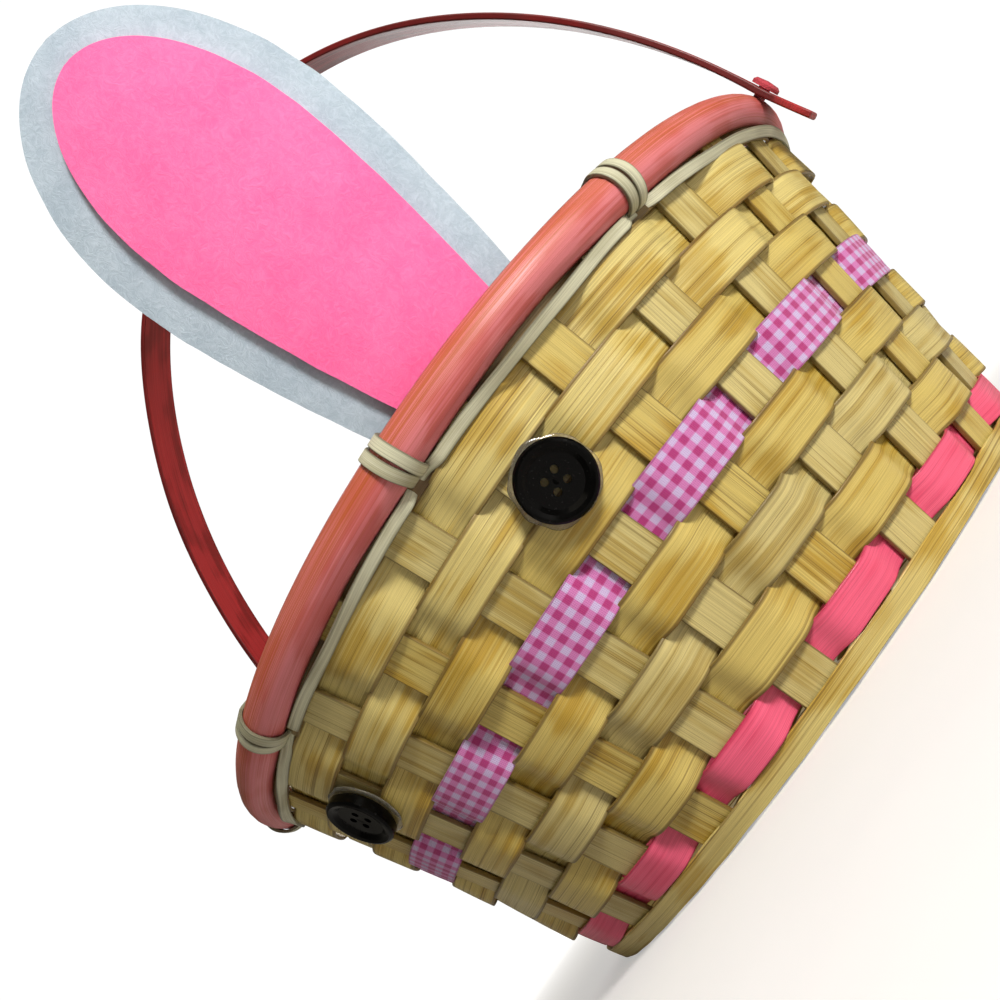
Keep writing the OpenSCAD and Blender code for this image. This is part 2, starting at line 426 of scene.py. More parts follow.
def new_group(name: str, inputs: dict[str, object], outputs: dict[str, str]) -> bpy.types.NodeTree:
    """Makes a shader node group with named sockets.

    Args:
        name: the group's name.
        inputs: each input's name and default: a float, a colour, or None for a vector.
        outputs: each output's name and socket type.

    Returns:
        The group, with its input and output nodes in it.
    """
    group = bpy.data.node_groups.new(name, "ShaderNodeTree")
    for key, value in inputs.items():
        kind = ("NodeSocketVector" if value is None else
                "NodeSocketFloat" if isinstance(value, float) else "NodeSocketColor")
        socket = group.interface.new_socket(key, in_out="INPUT", socket_type=kind)
        if value is not None:
            socket.default_value = rgba(value)
    for key, kind in outputs.items():
        group.interface.new_socket(key, in_out="OUTPUT", socket_type=kind)
    return group


def bamboo_grain_group() -> bpy.types.NodeTree:
    """Split bamboo: fine straight fibres, wider streaks, slow patches of tone, and painted shade at
    both edges.

    Returns:
        The group, whose vector is in centimetres with its second part across the fibres.
    """
    group = new_group(
        "bamboo_grain",
        {"Vector": None, "Pale": (0.8, 0.7, 0.5), "Deep": (0.5, 0.35, 0.1), "Streak": (0.2, 0.1, 0.03),
         "Streak Amount": 0.5, "Streak Bias": 0.0, "Depth": 0.5, "Edge Shade Half Width": 0.53},
        {"Color": "NodeSocketColor", "Roughness": "NodeSocketFloat", "Height": "NodeSocketFloat"})
    n = Nodes(group)
    given, result = n.add("NodeGroupInput").outputs, n.add("NodeGroupOutput").inputs
    vector = given["Vector"]
    fibres = n.noise(vector, (0.09, 40.0, 0.09), 2.0, 0.7)
    hairs = n.noise(vector, (0.35, 80.0, 0.35), 2.0, 0.6)
    bands = n.noise(vector, (0.07, 6.5, 0.07), 2.0, 0.6)
    patches = n.noise(vector, (0.55, 0.9, 0.55), 1.0)
    depth = n.math("ADD", n.ramp(patches, 0.36, 0.66, -0.4, 0.75),
                   n.ramp(bands, 0.35, 0.66, -0.25, 0.65))
    depth = n.math("MULTIPLY", n.math("MULTIPLY", depth, given["Depth"]), 1.6)
    colour = n.mix(n.ramp(depth, 0.0, 1.0), given["Pale"], given["Deep"])
    lines = n.math("MULTIPLY", n.ramp(fibres, 0.52, 0.64), n.ramp(bands, 0.36, 0.62, 0.12, 1.0))
    bias = n.math("MULTIPLY", given["Streak Bias"], n.ramp(fibres, 0.4, 0.6, 0.12, 1.25))
    lines = n.math("MAXIMUM", n.math("MULTIPLY", lines, given["Streak Amount"]), bias)
    colour = n.mix(n.math("MINIMUM", lines, 0.92), colour, given["Streak"])
    colour = n.mix(n.ramp(hairs, 0.4, 0.62, 0.0, 0.3), colour, given["Streak"])
    # Painted shade: the colour darkens over the last half millimetre of both edges, standing for the
    # shade in the gaps between strips.
    edge = n.math("ABSOLUTE", separate(n, vector)[1])
    rim = n.ramp(n.math("SUBTRACT", edge, given["Edge Shade Half Width"]), -0.05, 0.0, 0.0, 0.75)
    n.feed(result["Color"], n.mix(rim, colour, given["Streak"]))
    n.feed(result["Roughness"], n.ramp(fibres, 0.25, 0.75, 0.3, 0.56))
    ridges, waves = n.math("MULTIPLY", fibres, 0.6), n.math("MULTIPLY", bands, 0.9)
    n.feed(result["Height"], n.math("ADD", ridges, waves))
    return group


def separate(n: Nodes, vector: bpy.types.NodeSocket) -> bpy.types.NodeOutputs:
    """The three parts of a vector.

    Args:
        n: node helper of the tree.
        vector: the vector.

    Returns:
        Outputs for X, Y and Z.
    """
    node = n.add("ShaderNodeSeparateXYZ")
    n.feed(node.inputs[0], vector)
    return node.outputs


def felt_nap_group() -> bpy.types.NodeTree:
    """Pressed felt: matted fibres in two directions over a slow mottle.

    Returns:
        The group, whose vector is in metres.
    """
    group = new_group("felt_nap", {"Vector": None, "Light": (0.8, 0.8, 0.8), "Dark": (0.5, 0.5, 0.5)},
                      {"Color": "NodeSocketColor", "Height": "NodeSocketFloat"})
    n = Nodes(group)
    given, result = n.add("NodeGroupInput").outputs, n.add("NodeGroupOutput").inputs
    bent = n.add("ShaderNodeVectorMath", operation="MULTIPLY_ADD")
    swirl = n.add("ShaderNodeTexNoise")
    swirl.inputs["Scale"].default_value = 260.0
    n.feed(swirl.inputs["Vector"], given["Vector"])
    n.feed(bent.inputs[0], swirl.outputs["Color"])
    bent.inputs[1].default_value = (0.006, 0.006, 0.006)
    n.feed(bent.inputs[2], given["Vector"])
    one = n.noise(bent.outputs[0], (1500.0, 420.0, 520.0), 3.0, 0.7)
    two = n.noise(bent.outputs[0], (420.0, 1300.0, 1500.0), 3.0, 0.7)
    mottle = n.noise(given["Vector"], (95.0, 95.0, 95.0), 3.0, 0.6)
    fibres = n.math("MAXIMUM", one, two)
    tone = n.math("ADD", n.ramp(fibres, 0.42, 0.72, 0.0, 0.65), n.ramp(mottle, 0.35, 0.65, 0.0, 0.35))
    n.feed(result["Color"], n.mix(tone, given["Dark"], given["Light"]))
    n.feed(result["Height"], fibres)
    return group


GROUPS: dict[str, bpy.types.NodeTree] = {}


def shared_group(name: str) -> bpy.types.NodeTree:
    """The named group, made the first time it is asked for.

    Args:
        name: the group's name.

    Returns:
        The group.
    """
    makers: dict[str, Callable[[], bpy.types.NodeTree]] = {
        "bamboo_grain": bamboo_grain_group, "felt_nap": felt_nap_group}
    if name not in GROUPS:
        GROUPS[name] = makers[name]()
    return GROUPS[name]


def new_material(name: str) -> tuple[bpy.types.Material, Nodes, bpy.types.NodeInputs]:
    """Starts a material.

    Args:
        name: the material's name.

    Returns:
        The material, its node helper and its Principled shader's inputs.
    """
    material = bpy.data.materials.new(name)
    material.use_nodes = True
    nodes = Nodes(material.node_tree)
    return material, nodes, material.node_tree.nodes["Principled BSDF"].inputs


def bump(n: Nodes, shader: bpy.types.NodeInputs, height: bpy.types.NodeSocket, depth: float,
         strength: float) -> None:
    """Feeds a height into the shader's normal.

    Args:
        n: node helper of the material.
        shader: inputs of its Principled shader.
        height: the height, 0 to 1.
        depth: millimetres that a height of 1 stands for.
        strength: strength of the effect.
    """
    node = n.add("ShaderNodeBump")
    node.inputs["Strength"].default_value = strength
    node.inputs["Distance"].default_value = depth * MM
    n.feed(node.inputs["Height"], height)
    n.feed(shader["Normal"], node.outputs["Normal"])


@dataclass(frozen=True)
class Bamboo:
    """A finish of split bamboo, natural or dyed."""

    name: str
    pale: Colour
    deep: Colour
    streak: Colour
    streaks: float = 0.5
    depth: float = 0.5
    # half width of the strip in centimetres, where the painted edge shade is darkest
    half_width: float = 0.53
    coat: float = 0.2
    grain: Grain = Grain.STRIP
    bias_from: float = 0.0
    bias_to: float = 0.0

    def material(self) -> bpy.types.Material:
        """Builds the shader.

        Returns:
            The material.
        """
        material, n, shader = new_material(self.name)
        group = n.add("ShaderNodeGroup", node_tree=shared_group("bamboo_grain"))
        n.feed(group.inputs["Vector"], self.fibre_run(n))
        for key, value in (("Pale", self.pale), ("Deep", self.deep), ("Streak", self.streak)):
            group.inputs[key].default_value = rgba(value)
        group.inputs["Streak Amount"].default_value = self.streaks
        group.inputs["Depth"].default_value = self.depth
        group.inputs["Edge Shade Half Width"].default_value = self.half_width
        if self.bias_to:
            high = separate(n, n.add("ShaderNodeTexCoord").outputs["UV"])[1]
            n.feed(group.inputs["Streak Bias"], n.ramp(high, self.bias_from, self.bias_to, 0.0, 0.9))
        n.feed(shader["Base Color"], group.outputs["Color"])
        n.feed(shader["Roughness"], group.outputs["Roughness"])
        shader["Coat Weight"].default_value = self.coat
        shader["Coat Roughness"].default_value = 0.35
        shader["IOR"].default_value = 1.46
        bump(n, shader, group.outputs["Height"], 0.16, 0.55)
        return material

    def fibre_run(self, n: Nodes) -> bpy.types.NodeSocket:
        """Where the fibres run.

        Args:
            n: node helper of the material.

        Returns:
            A vector in centimetres whose second part goes across the fibres.
        """
        source = n.add("ShaderNodeTexCoord").outputs
        if self.grain is Grain.STRIP:
            return source["UV"]
        x, y, z = separate(n, source["Object"])
        reach = n.math("SQRT", n.math("ADD", n.math("MULTIPLY", x, x), n.math("MULTIPLY", y, y)))
        vector = n.add("ShaderNodeCombineXYZ")
        for socket, part in zip(vector.inputs, (x, n.math("ADD", z, reach), y)):
            n.feed(socket, n.math("MULTIPLY", part, 100.0))
        return vector.outputs[0]


@dataclass(frozen=True)
class Felt:
    """A finish of pressed craft felt."""

    name: str
    light: Colour
    dark: Colour
    sheen: float = 0.35

    def material(self) -> bpy.types.Material:
        """Builds the shader.

        Returns:
            The material.
        """
        material, n, shader = new_material(self.name)
        group = n.add("ShaderNodeGroup", node_tree=shared_group("felt_nap"))
        n.feed(group.inputs["Vector"], n.add("ShaderNodeTexCoord").outputs["Object"])
        group.inputs["Light"].default_value = rgba(self.light)
        group.inputs["Dark"].default_value = rgba(self.dark)
        n.feed(shader["Base Color"], group.outputs["Color"])
        shader["Roughness"].default_value = 0.95
        shader["Sheen Weight"].default_value = self.sheen
        shader["Sheen Roughness"].default_value = 0.5
        bump(n, shader, group.outputs["Height"], 0.35, 0.6)
        return material


@dataclass(frozen=True)
class Gingham:
    """Woven check: two colours of thread cross in squares, darker along both edges."""

    name: str
    check: float = 3.5
    half_width: float = 6.0
    dark: Colour = srgb(178, 46, 118)
    middle: Colour = srgb(206, 120, 182)
    light: Colour = srgb(202, 182, 220)
    gap: Colour = srgb(120, 40, 110)
    edge_tone: Colour = srgb(150, 50, 110)
    threads_per_cm: int = 26

    def material(self) -> bpy.types.Material:
        """Builds the shader.

        Returns:
            The material.
        """
        material, n, shader = new_material(self.name)
        u, v, _ = separate(n, n.add("ShaderNodeTexCoord").outputs["UV"])
        columns, rows = self.bars(n, u), self.bars(n, n.math("ADD", v, self.check / 40))
        both = n.math("MULTIPLY", columns, rows)
        either = n.math("MAXIMUM", columns, rows)
        colour = n.mix(both, n.mix(either, self.light, self.middle), self.dark)
        warp, weft = self.threads(n, u), self.threads(n, v)
        weave = n.math("MAXIMUM", warp, weft)
        colour = n.mix(n.ramp(weave, 0.3, 1.0, 0.22, 0.0), colour, self.gap)
        # The colour darkens along both edges of the ribbon.
        rim = self.half_width / 10
        edge = n.math("MULTIPLY", n.ramp(n.math("ABSOLUTE", v), rim - 0.05, rim - 0.02), 0.65)
        n.feed(shader["Base Color"], n.mix(edge, colour, self.edge_tone))
        shader["Roughness"].default_value = 0.8
        shader["Sheen Weight"].default_value = 0.25
        bump(n, shader, weave, 0.12, 0.7)
        return material

    def bars(self, n: Nodes, along: bpy.types.NodeSocket) -> bpy.types.NodeSocket:
        """1 on the dark half of each check, eased over a thread's width."""
        wave = n.math("SINE", n.math("MULTIPLY", along, 20 * math.pi / self.check))
        return n.ramp(wave, -0.35, 0.35)

    def threads(self, n: Nodes, along: bpy.types.NodeSocket) -> bpy.types.NodeSocket:
        """The rise and fall of single threads."""
        wave = n.math("SINE", n.math("MULTIPLY", along, 2 * math.pi * self.threads_per_cm))
        return n.math("MULTIPLY_ADD", wave, 0.5, 0.5)


@dataclass(frozen=True)
class Gloss:
    """Polished moulded plastic, or the clear glue under it."""

    name: str
    colour: Colour
    roughness: float
    coat: float = 0.0
    clear: float = 0.0
    shine: float = 0.35

    def material(self) -> bpy.types.Material:
        """Builds the shader, with faint handling marks in its gloss.

        Returns:
            The material.
        """
        material, n, shader = new_material(self.name)
        spot = n.add("ShaderNodeTexCoord").outputs["Object"]
        marks = n.noise(spot, (420.0, 420.0, 420.0), 4.0, 0.7)
        specks = n.ramp(n.noise(spot, (1900.0, 1900.0, 1900.0), 2.0), 0.66, 0.74, 0.0, 0.12)
        paler = tuple(min(1.0, c + 0.12) for c in self.colour)
        n.feed(shader["Base Color"], n.mix(specks, self.colour, paler))
        n.feed(shader["Roughness"], n.ramp(marks, 0.3, 0.75, self.roughness, self.roughness + 0.14))
        shader["Coat Weight"].default_value = self.coat
        shader["Coat Roughness"].default_value = 0.08
        shader["Transmission Weight"].default_value = self.clear
        shader["Specular IOR Level"].default_value = self.shine
        bump(n, shader, marks, 0.05, 0.2)
        return material


STRAW = Bamboo("straw_bamboo", srgb(208, 186, 104), srgb(184, 150, 52), srgb(92, 64, 14),
               0.66, 0.48)
HONEY = Bamboo("honey_bamboo", srgb(216, 198, 124), srgb(190, 158, 64), srgb(98, 68, 14),
               0.72, 0.52)
PALE = Bamboo("pale_bamboo", srgb(206, 190, 126), srgb(178, 152, 74), srgb(90, 68, 22),
              0.6, 0.45)
HOT_PINK = Bamboo("hot_pink_bamboo", srgb(240, 98, 132), srgb(226, 66, 104), srgb(168, 34, 70),
                  0.25, 0.35, half_width=0.43)
CRIMSON = Bamboo("crimson_bamboo", srgb(180, 40, 44), srgb(140, 20, 22), srgb(78, 8, 8),
                 0.42, 0.6, half_width=0.63)
INNER = Bamboo("inner_hoop_bamboo", srgb(204, 88, 100), srgb(172, 54, 64), srgb(120, 44, 28),
               0.4, 0.5, half_width=0.42)
PEG = Bamboo("peg_bamboo", srgb(190, 64, 78), srgb(146, 34, 44), srgb(90, 20, 20),
             0.4, 0.5, half_width=NO_EDGE_SHADE, grain=Grain.ROUND)
# Painted shade: a darkened copy of the straw finish, standing for the shade in the gap between the
# hoops.
PAINTED_SHADE = Bamboo("painted_shade_bamboo", srgb(128, 104, 56), srgb(104, 76, 28), srgb(48, 30, 8),
                0.6, 0.6)
SAGE = Bamboo("sage_cane", srgb(206, 204, 176), srgb(176, 172, 142), srgb(80, 76, 54),
              0.35, 0.45, half_width=0.14, coat=0.0)
ROSE = Bamboo("rose_bamboo", srgb(216, 124, 132), srgb(200, 96, 98), srgb(174, 84, 34),
              0.45, 0.55, half_width=NO_EDGE_SHADE, coat=0.0, bias_from=-0.36, bias_to=0.2)
BLUE_FELT = Felt("blue_grey_felt", srgb(186, 200, 212), srgb(160, 176, 190))
PINK_FELT = Felt("pink_felt", srgb(254, 120, 176), srgb(250, 98, 158), 0.12)
GINGHAM = Gingham("gingham_cloth")
BUTTON = Gloss("black_button", (0.001, 0.001, 0.001), 0.1, shine=0.1)
GLUE = Gloss("clear_glue", (0.86, 0.82, 0.68), 0.12, 0.2, 0.92)


# ---- the woven wall --------------------------------------------------------------------------


@dataclass
class Weaver:
    """A strip that goes once round the wall, over one stake and under the next."""

    name: str
    node: str
    row: int
    z: float
    width: float
    thickness: float
    slot: str
    finish: bpy.types.Material
    swell: float = 1.0
    lift: float = 0.0
    tuck: float = 0.0
    curl: float = 1.0
    clear_over: float = 1.37
    drop: float = 0.0
    calm: tuple[float, ...] = ()
    bend: float = 2.3
    most_twist: float = 0.085
    steps: int = STAKES * 14

    def phase(self, azimuth: float) -> float:
        """1 where the strip is right over a stake, -1 where it is right under one."""
        sign = 1 if self.row % 2 == 0 else -1
        return sign * math.cos(math.pi * azimuth / STAKE_STEP)

    def out(self, azimuth: float) -> float:
        """Distance of the strip's middle out of the wall.

        Args:
            azimuth: degrees from the front.

        Returns:
            The distance, which clears a stake over its whole width.
        """
        half = math.degrees(math.asin(STAKE_HALF / WALL.radius(self.z)))
        edge = math.cos(math.radians(half * 180 / STAKE_STEP))
        reach = self.clear_over / math.tanh(self.bend * edge)
        wave = math.tanh(self.bend * self.phase(azimuth))
        return self.lift + reach * self.swell * wave - self.tuck * max(0.0, -wave)

    def lean_of(self, azimuth: float) -> float:
        """How far the strip is twisted over a stake, so that its lower edge stands off.

        Args:
            azimuth: degrees from the front.

        Returns:
            The angle in radians, which is nothing near the azimuths kept calm.
        """
        near_eye = min((abs((azimuth - c + 180) % 360 - 180) for c in self.calm), default=90.0)
        over = smooth(self.phase(azimuth) * 1.4) * smooth((near_eye - 9) / 6)
        return -self.most_twist * self.curl * over * (0.35 + ripple(azimuth, 4.6, 3.1 * self.row))

    def stations(self) -> list[Station]:
        """Follows the wall once round.

        Returns:
            Cross-sections of the strip.
        """
        made = []
        for i in range(self.steps):
            azimuth = 186 + 360 * i / self.steps
            twist = self.lean_of(azimuth)
            across, through = WALL.tilted(azimuth, twist)
            middle = WALL.point(
                azimuth, self.z, 0.12 * ripple(azimuth, 3.2, self.row * 5.7) - self.drop,
                self.out(azimuth) + abs(twist) * self.width * 0.4)
            width = self.width + 0.12 * ripple(azimuth, 7.0, self.row * 2.3)
            made.append(Station(middle, across, through, width))
        return made

    def build(self) -> bpy.types.Object:
        """Makes the piece and puts it on the basket.

        Returns:
            The piece.
        """
        bm = bmesh.new()
        add_strip(bm, self.stations(), closed=True, crown=0.07, shift=37.0 * self.row)
        piece = strip_piece(self.name, bm, self.thickness, EDGE_ROUNDING, self.finish)
        return place(piece, BASKET, self.slot, self.node)


@dataclass
class Splint:
    """A strip woven flat through the base and turned up at both ends as two wall stakes."""

    node: str
    angle: float
    crossings: tuple[float, ...]
    first_over: int
    along_y: bool
    slot: str
    finish: bpy.types.Material
    width: float = 10.7
    thickness: float = 1.2
    mat_z: float = 1.275
    rise: float = 0.675
    fold_r: float = 2.0
    top_z: float = 98.0
    fold_steps: int = 6
    stake_steps: int = 24
    cross_steps: int = 6

    def fold_start(self) -> float:
        """Works out where the splint starts to turn up.

        Returns:
            The radius at which it leaves the base.
        """
        turn = math.pi / 2 - WALL.lean
        top = self.mat_z + self.fold_r * (1 - math.cos(turn))
        return WALL.radius(top) - self.fold_r * math.sin(turn)

    def end(self, side: int) -> list[Station]:
        """Follows one end from the edge of the base to the top of the stake.

        Args:
            side: -1 or 1 for the two ends.

        Returns:
            Cross-sections of the end.
        """
        a = math.radians(self.angle)
        out = Vector((side * math.cos(a), math.sin(a), 0))
        across = Vector((-side * math.sin(a), math.cos(a), 0))
        start, turn, made = self.fold_start(), math.pi / 2 - WALL.lean, []
        for i in range(self.fold_steps + 1):
            b = turn * i / self.fold_steps
            centre = out * (start + self.fold_r * math.sin(b))
            centre.z = self.mat_z + self.fold_r * (1 - math.cos(b))
            through = Vector((0, 0, math.cos(b))) - out * math.sin(b)
            made.append(Station(centre, across, through, self.width))
        last, face = made[-1], made[-1].through
        for i in range(1, self.stake_steps + 1):
            z = last.centre.z + (self.top_z - last.centre.z) * i / self.stake_steps
            centre = out * WALL.radius(z)
            centre.z = z
            width = self.width + 0.2 * noise.noise(Vector((z / 14, self.angle, side * 3.0)))
            made.append(Station(centre, across, face, width))
        return made

    def base(self) -> list[Station]:
        """Follows the flat middle, over and under the splints that cross it.

        Returns:
            Cross-sections of the middle.
        """
        start = self.fold_start()
        middle_y = start * math.sin(math.radians(self.angle))
        places = [start * math.sin(math.radians(c)) for c in self.crossings]
        marks = [(p + e * STAKE_HALF, 1 if (i + self.first_over) % 2 == 0 else -1)
                 for i, p in enumerate(places) for e in (-1, 1)]
        path = []
        for (x0, s0), (x1, s1) in zip(marks, marks[1:]):
            for i in range(self.cross_steps):
                t = i / self.cross_steps
                path.append((x0 + (x1 - x0) * i / self.cross_steps, s0 + (s1 - s0) * smooth(t)))
        path.append(marks[-1])
        across, through = Vector((0, 1, 0)), Vector((0, 0, 1))
        return [Station(Vector((x, middle_y, self.mat_z + self.rise * s)), across, through, self.width)
                for x, s in path]

    def build(self) -> bpy.types.Object:
        """Makes the piece and puts it on the basket.

        Returns:
            The piece.
        """
        bm = bmesh.new()
        stations = [*reversed(self.end(-1)), *self.base(), *self.end(1)]
        add_strip(bm, stations, crown=0.05, shift=23.0 * self.angle / STAKE_STEP + 400 * self.along_y)
        if self.along_y:
            bmesh.ops.rotate(bm, verts=bm.verts, matrix=Matrix.Rotation(math.pi / 2, 3, "Z"))
        piece = strip_piece(f"{self.node}_bamboo", bm, self.thickness, EDGE_ROUNDING, self.finish)
        return place(piece, BASKET, self.slot, self.node)


@dataclass
class WovenBody:
    """The splints, weavers, gingham and foot band."""

    first_z: float = 9.1
    pitch: float = 10.45
    long_count: int = 8
    cross_count: int = 7
    row_width: float = 11.6
    pink_width: float = 8.7
    pink_raise: float = 1.0
    top_width: float = 10.0
    top_drop: float = 3.0
    ribbon_row: int = 5
    ribbon_width: float = 12.0
    ribbon_thickness: float = 0.3
    tuck: float = 0.35
    eyes: tuple[float, float] = (-25.4, 25.4)

    def angles(self, count: int) -> tuple[float, ...]:
        """Directions in which a set of splints leave the base."""
        return tuple((i - (count - 1) / 2) * STAKE_STEP for i in range(count))

    def build(self) -> None:
        """Makes every piece of the woven body."""
        straw, honey, pale, pink = (f.material() for f in (STRAW, HONEY, PALE, HOT_PINK))
        self.splints(straw, pale)
        tones = {1: pink, 2: straw, 3: pale, 4: straw, 5: straw, 6: straw, 7: honey, 8: honey}
        for row, finish in tones.items():
            self.wall_row(row, finish)
        # The top weaver takes the painted-shade finish.
        Weaver("weaver_9_bamboo", "weaver_9", 9, WALL.rim_z, self.top_width, WEAVER_THICKNESS,
               "straw_bamboo", PAINTED_SHADE.material(), swell=0.85, curl=0.0, drop=self.top_drop).build()
        self.ribbon()
        self.foot_band(honey)

    def splints(self, straw: bpy.types.Material, pale: bpy.types.Material) -> None:
        """Makes both sets of splints, with every third one in the deeper finish.

        Args:
            straw: the deeper finish.
            pale: the paler finish.
        """
        long_angles, cross_angles = self.angles(self.long_count), self.angles(self.cross_count)
        for i in range(1, self.long_count + 1):
            slot, finish = ("honey_bamboo", straw) if i % 3 == 0 else ("straw_bamboo", pale)
            Splint(f"long_splint_{i}", long_angles[i - 1], cross_angles, i, False,
                   slot, finish).build()
        for i in range(1, self.cross_count + 1):
            slot, finish = ("honey_bamboo", straw) if i % 3 == 1 else ("straw_bamboo", pale)
            back = self.cross_count - i
            Splint(f"cross_splint_{i}", cross_angles[back], long_angles, back, True,
                   slot, finish).build()

    def wall_row(self, row: int, finish: bpy.types.Material) -> None:
        """Makes one of the eight rows below the hoops.

        Args:
            row: its number, counted from the foot.
            finish: its finish.
        """
        slot = "straw_bamboo" if row % 2 == 0 else "honey_bamboo"
        width, z = self.row_width, self.first_z + (row - 1) * self.pitch
        if row == 1:
            slot, width, z = "hot_pink_bamboo", self.pink_width, self.first_z + self.pink_raise
        under_ribbon = row == self.ribbon_row
        Weaver(f"weaver_{row}_bamboo", f"weaver_{row}", row, z, width, WEAVER_THICKNESS, slot, finish,
               swell=1.0 if row == 1 or under_ribbon else 1.06,
               tuck=self.tuck if under_ribbon else 0.0, curl=0.0 if under_ribbon else 1.0,
               calm=self.eyes if row > self.ribbon_row else ()).build()

    def ribbon(self) -> None:
        """The gingham, which follows the fifth row and shows on every stake it passes over."""
        z = self.first_z + (self.ribbon_row - 1) * self.pitch
        cloth = Weaver("gingham_cloth", "gingham_ribbon", self.ribbon_row, z, self.ribbon_width,
                       self.ribbon_thickness, "gingham_cloth", GINGHAM.material(), lift=0.72,
                       tuck=self.tuck, curl=0.0)
        piece = cloth.build()

    def foot_band(self, finish: bpy.types.Material) -> None:
        """The plain strip round the foot of the stakes.

        Args:
            finish: its finish.
        """
        stations = []
        for i in range(240):
            azimuth = 180 + 1.5 * i
            middle = WALL.point(azimuth, 0.3, 3.15 + 0.12 * ripple(azimuth, 4.0, 81.0),
                                1.4 + 0.18 * ripple(azimuth, 5.0, 47.0))
            stations.append(Station(middle, WALL.upward(azimuth), WALL.outward(azimuth),
                                    5.1 + 0.3 * ripple(azimuth, 9.0, 17.0)))
        bm = bmesh.new()
        add_strip(bm, stations, closed=True, columns=2, crown=0.05, shift=611.0)
        piece = strip_piece("base_band_bamboo", bm, 0.85, 0.2, finish)
        place(piece, BASKET, "straw_bamboo", "base_band")


# ---- rim -------------------------------------------------------------------------------------


@dataclass
class Rim:
    """The two hoops and the cane that lashes them."""

    width: float = 10.0
    thickness: float = 3.8
    gap: float = 2.0
    inner_thickness: float = 2.5
    cane_width: float = 2.8
    cane_thickness: float = 0.9
    tie_step: float = 36.0
    tie_split: float = 0.82
    round_r: float = field(init=False)
    round_out: float = field(init=False)

    def __post_init__(self) -> None:
        """Works out the half-round face from its width and height."""
        half = self.width / 2
        self.round_r = (half**2 + self.thickness**2) / (2 * self.thickness)
        self.round_out = self.gap + self.thickness - self.round_r

    def tie_places(self) -> list[float]:
        """Azimuths of the lashings; the two places at the handle have none."""
        places = [18 + self.tie_step * k for k in range(10)]
        return [p for p in places if min(abs(p - 90), abs(p - 270)) > 1]

    def to_tie(self, azimuth: float) -> float:
        """Degrees from an azimuth to the nearest lashing."""
        return min(abs((azimuth - p + 180) % 360 - 180) for p in self.tie_places())

    def round_face(self, grow: float, steps: int) -> list[tuple[float, float]]:
        """Goes over the outer hoop's round face from top to bottom.

        Args:
            grow: distance off the face.
            steps: number of steps.

        Returns:
            Points up and out of the wall.
        """
        reach = math.asin(self.width / 2 / self.round_r)
        return [((self.round_r + grow) * math.sin(reach - 2 * reach * i / steps),
                 self.round_out + (self.round_r + grow) * math.cos(reach - 2 * reach * i / steps))
                for i in range(steps + 1)]

    def outer_hoop(self) -> None:
        """Spins the half-round section into a hoop, then makes it a little uneven."""
        quarter = self.width / 4
        outline = self.round_face(0, 16) + [(up, self.gap) for up in (-quarter, 0.0, quarter)]
        bm = spin_ring([WALL.point(180, WALL.rim_z, up, out) * MM for up, out in outline], 300)
        for vert in bm.verts:
            azimuth = math.degrees(math.atan2(vert.co.x, -vert.co.y))
            low = smooth((WALL.rim_z * MM - vert.co.z) / (4 * MM))
            between = smooth((self.to_tie(azimuth) - 3) / 11)
            rise = 0.55 * low * between * (0.6 + 0.5 * ripple(azimuth, 3.0, 5.0))
            face = 0.12 * ripple(azimuth, 9.0, 40.0 * vert.co.z / (10 * MM))
            vert.co += (WALL.upward(azimuth) * rise - WALL.outward(azimuth) * abs(face)) * MM
        bmesh.ops.recalc_face_normals(bm, faces=bm.faces)
        self.unroll(bm)
        piece = to_piece("outer_hoop_bamboo", bm, ROSE.material())
        place(piece, BASKET, "rose_bamboo", "outer_hoop")

    def unroll(self, bm: bmesh.types.BMesh) -> None:
        """Gives the outer hoop its length and the way round its section as UVs, in centimetres.

        Args:
            bm: the hoop.
        """
        uv = bm.loops.layers.uv.verify()
        middle = WALL.point(180, WALL.rim_z, 0, self.gap + 0.5)
        for face in bm.faces:
            c = face.calc_center_median()
            here = math.atan2(c.x, -c.y)
            for loop in face.loops:
                co = loop.vert.co
                apart = math.remainder(math.atan2(co.x, -co.y) - here, 2 * math.pi)
                turn = math.atan2(co.z / MM - middle.z, co.xy.length / MM - middle.xy.length)
                loop[uv].uv = ((here + apart) * 12, turn * 0.5)

    def inner_hoop(self) -> None:
        """The flat hoop inside the stakes."""
        out = -self.gap - self.inner_thickness / 2
        stations = []
        for i in range(240):
            azimuth = 171 + 1.5 * i
            stations.append(Station(WALL.point(azimuth, WALL.rim_z, -0.5, out), WALL.upward(azimuth),
                                    WALL.outward(azimuth), 8.2))
        bm = bmesh.new()
        add_strip(bm, stations, closed=True, columns=3, shift=911.0)
        piece = strip_piece("inner_hoop_bamboo", bm, self.inner_thickness, 0.7, INNER.material())
        place(piece, BASKET, "crimson_bamboo", "inner_hoop")

    def turn_loop(self) -> list[tuple[float, float]]:
        """Goes once round both hoops.

        Returns:
            Evenly spaced, softened points of a turn of cane, up and out of the wall.
        """
        grow = 0.15 + self.cane_thickness / 2
        inside = -self.gap - self.inner_thickness
        half = self.width / 2
        corners = self.round_face(grow, 12) + [
            (-half - grow, inside + 0.2), (-half + 0.2, inside - grow),
            (half - 1.4, inside - grow), (half - 0.7 + grow, inside + 0.7)]
        points = [Vector(p) for p in corners]
        total = sum((b - a).length for a, b in zip(points, points[1:] + points[:1]))
        count, made, walked, i = 44, [], 0.0, 0
        for k in range(count):
            target = total * k / count
            while walked + (points[(i + 1) % len(points)] - points[i]).length < target:
                walked += (points[(i + 1) % len(points)] - points[i]).length
                i += 1
            step = points[(i + 1) % len(points)] - points[i]
            made.append(points[i] + step * ((target - walked) / step.length))
        return [tuple((made[k - 1] + made[k] * 2 + made[(k + 1) % count]) / 4) for k in range(count)]

